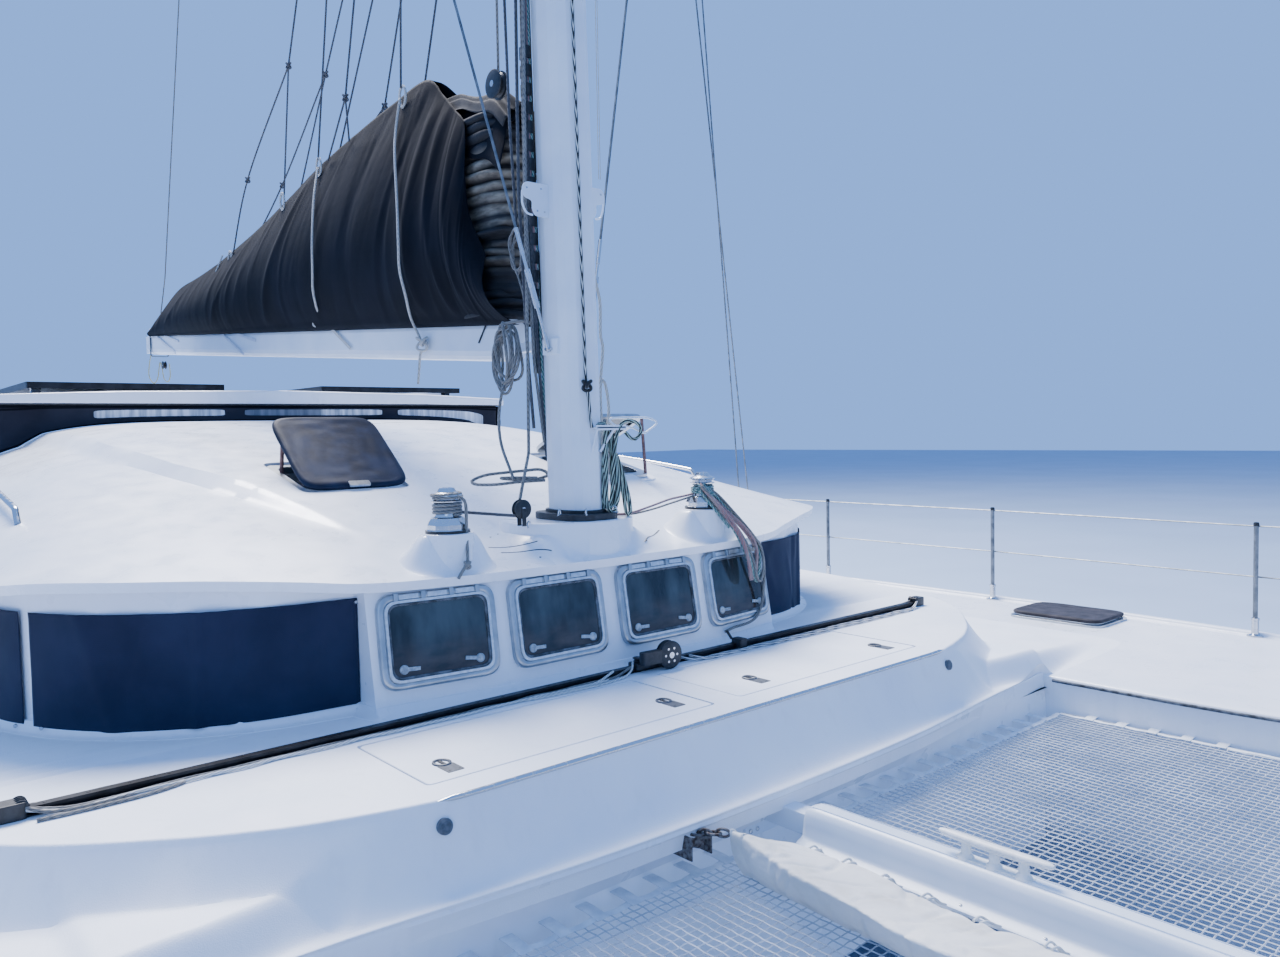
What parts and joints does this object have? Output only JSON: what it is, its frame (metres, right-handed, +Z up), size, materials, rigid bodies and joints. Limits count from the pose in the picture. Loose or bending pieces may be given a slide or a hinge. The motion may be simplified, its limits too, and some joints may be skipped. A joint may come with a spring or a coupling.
{
  "type": "sailing catamaran",
  "caption": "Cruising catamaran afloat, with decked hulls, a bridge deck with saloon and hardtop, a sloop rig with the mainsail stowed on its swinging boom, and netted foredeck",
  "frame": {"origin": "on the centre line amidships, at the waterline", "axes": "+X forward, +Y to port, +Z up"},
  "size_m": [13.9, 7.5, 20.7],
  "materials": {
    "gelcoat": "glossy gelcoat over glass laminate, with a fine non-slip on the decks",
    "antifouling": "matt antifouling paint",
    "spar_paint": "white painted aluminium",
    "stainless": "polished stainless steel",
    "anodised": "satin anodised",
    "bronze": "cast bronze",
    "canvas": "woven navy acrylic canvas",
    "pale_canvas": "woven off-white canvas, soiled",
    "sailcloth": "woven polyester sailcloth",
    "net": "knotted white polyester net",
    "tinted_glass": "tinted acrylic pane",
    "solar_cells": "dark cells under glass",
    "black_plastic": "black moulded nylon and hard anodised track"
  },
  "bodies": {
    "root": {"hull_port": "gelcoat", "hull_starboard": "gelcoat", "keel_port": "antifouling", "keel_starboard": "antifouling", "saildrive_port": "antifouling", "saildrive_starboard": "antifouling", "side_window_port": "tinted_glass", "side_window_starboard": "tinted_glass", "window_cover_port": "canvas", "window_cover_starboard": "canvas", "solar_panel_port": "solar_cells", "solar_panel_starboard": "solar_cells", "cap_shroud_port": "stainless", "cap_shroud_starboard": "stainless", "lower_shroud_port": "stainless", "lower_shroud_starboard": "stainless", "trampoline_port": "net", "trampoline_starboard": "net", "guardrail_port": "stainless", "guardrail_starboard": "stainless", "winch_port": "stainless", "winch_starboard": "stainless", "portlight_port_outboard": "anodised", "portlight_port_inboard": "anodised", "portlight_starboard_inboard": "anodised", "portlight_starboard_outboard": "anodised", "bridgedeck": "gelcoat", "foredeck_plinth": "gelcoat", "coachroof_walls": "gelcoat", "coachroof": "gelcoat", "saloon_bulkhead": "gelcoat", "diamond_stay_port": "stainless", "diamond_stay_starboard": "stainless", "windscreen": "canvas", "hardtop": "gelcoat", "hardtop_frame": "stainless", "mast": "spar_paint", "furled_jib": "sailcloth", "front_crossbeam": "spar_paint", "centre_beam": "spar_paint", "canvas_bag": "pale_canvas", "jib_track": "black_plastic", "cockpit_bench": "gelcoat", "cockpit_table": "gelcoat", "helm_console": "gelcoat", "helm_seat": "gelcoat"},
    "boom": {"boom": "spar_paint", "sail_bag": "canvas"},
    "wheel": {"steering_wheel": "stainless"},
    "rudder_port": {"rudder_port": "antifouling"},
    "rudder_starboard": {"rudder_starboard": "antifouling"},
    "propeller_port": {"propeller_port": "bronze"},
    "propeller_starboard": {"propeller_starboard": "bronze"},
    "roof_hatch_port": {"roof_hatch_port": "canvas"},
    "roof_hatch_starboard": {"roof_hatch_starboard": "canvas"},
    "deck_hatch_port": {"deck_hatch_port": "canvas"},
    "deck_hatch_starboard": {"deck_hatch_starboard": "canvas"},
    "locker_lid_port": {"locker_lid_port": "gelcoat"},
    "locker_lid_starboard": {"locker_lid_starboard": "gelcoat"},
    "saloon_door": {"saloon_door": "tinted_glass"}
  },
  "joints": [
    {"name": "boom_swing", "type": "hinge", "parent": "root", "child": "boom", "pos_m": [0.635, 0, 3.076], "axis": [0, 0, 1], "range_deg": [-50, 50]},
    {"name": "wheel_turn", "type": "hinge", "parent": "root", "child": "wheel", "pos_m": [-2.73, -1.29, 1.76], "axis": [1, 0, 0], "range_deg": [-540, 540]},
    {"name": "rudder_port_turn", "type": "hinge", "parent": "root", "child": "rudder_port", "pos_m": [-5.85, 2.99, -0.4], "axis": [0, 0, 1], "range_deg": [-35, 35]},
    {"name": "rudder_starboard_turn", "type": "hinge", "parent": "root", "child": "rudder_starboard", "pos_m": [-5.85, -2.99, -0.4], "axis": [0, 0, 1], "range_deg": [-35, 35]},
    {"name": "propeller_port_spin", "type": "hinge", "parent": "root", "child": "propeller_port", "pos_m": [-4.3, 3.005, -0.8], "axis": [1, 0, 0], "continuous": true},
    {"name": "propeller_starboard_spin", "type": "hinge", "parent": "root", "child": "propeller_starboard", "pos_m": [-4.3, -3.005, -0.8], "axis": [1, 0, 0], "continuous": true},
    {"name": "roof_hatch_port_lift", "type": "hinge", "parent": "root", "child": "roof_hatch_port", "pos_m": [-0.37186, 0.86, 2.60472], "axis": [0, -1, 0], "range_deg": [-37, 40]},
    {"name": "roof_hatch_starboard_lift", "type": "hinge", "parent": "root", "child": "roof_hatch_starboard", "pos_m": [0.105, -0.6, 2.49], "axis": [0, 1, 0], "range_deg": [-24.5, 53.5]},
    {"name": "deck_hatch_port_lift", "type": "hinge", "parent": "root", "child": "deck_hatch_port", "pos_m": [1.62, 3.4, 1.54], "axis": [0, 1, 0], "range_deg": [0, 85]},
    {"name": "deck_hatch_starboard_lift", "type": "hinge", "parent": "root", "child": "deck_hatch_starboard", "pos_m": [1.62, -3.4, 1.54], "axis": [0, 1, 0], "range_deg": [0, 85]},
    {"name": "locker_lid_port_lift", "type": "hinge", "parent": "root", "child": "locker_lid_port", "pos_m": [1.275, 0.62, 1.745], "axis": [0, -1, 0], "range_deg": [0, 85]},
    {"name": "locker_lid_starboard_lift", "type": "hinge", "parent": "root", "child": "locker_lid_starboard", "pos_m": [1.275, -0.62, 1.745], "axis": [0, -1, 0], "range_deg": [0, 85]},
    {"name": "saloon_door_slide", "type": "slide", "parent": "root", "child": "saloon_door", "axis": [0, 1, 0], "range_m": [0, 0.75]}
  ],
  "couplings": [
    {"joint": "rudder_port_turn", "follows": "wheel_turn", "ratio": 0.0648},
    {"joint": "rudder_starboard_turn", "follows": "wheel_turn", "ratio": 0.0648}
  ]
}
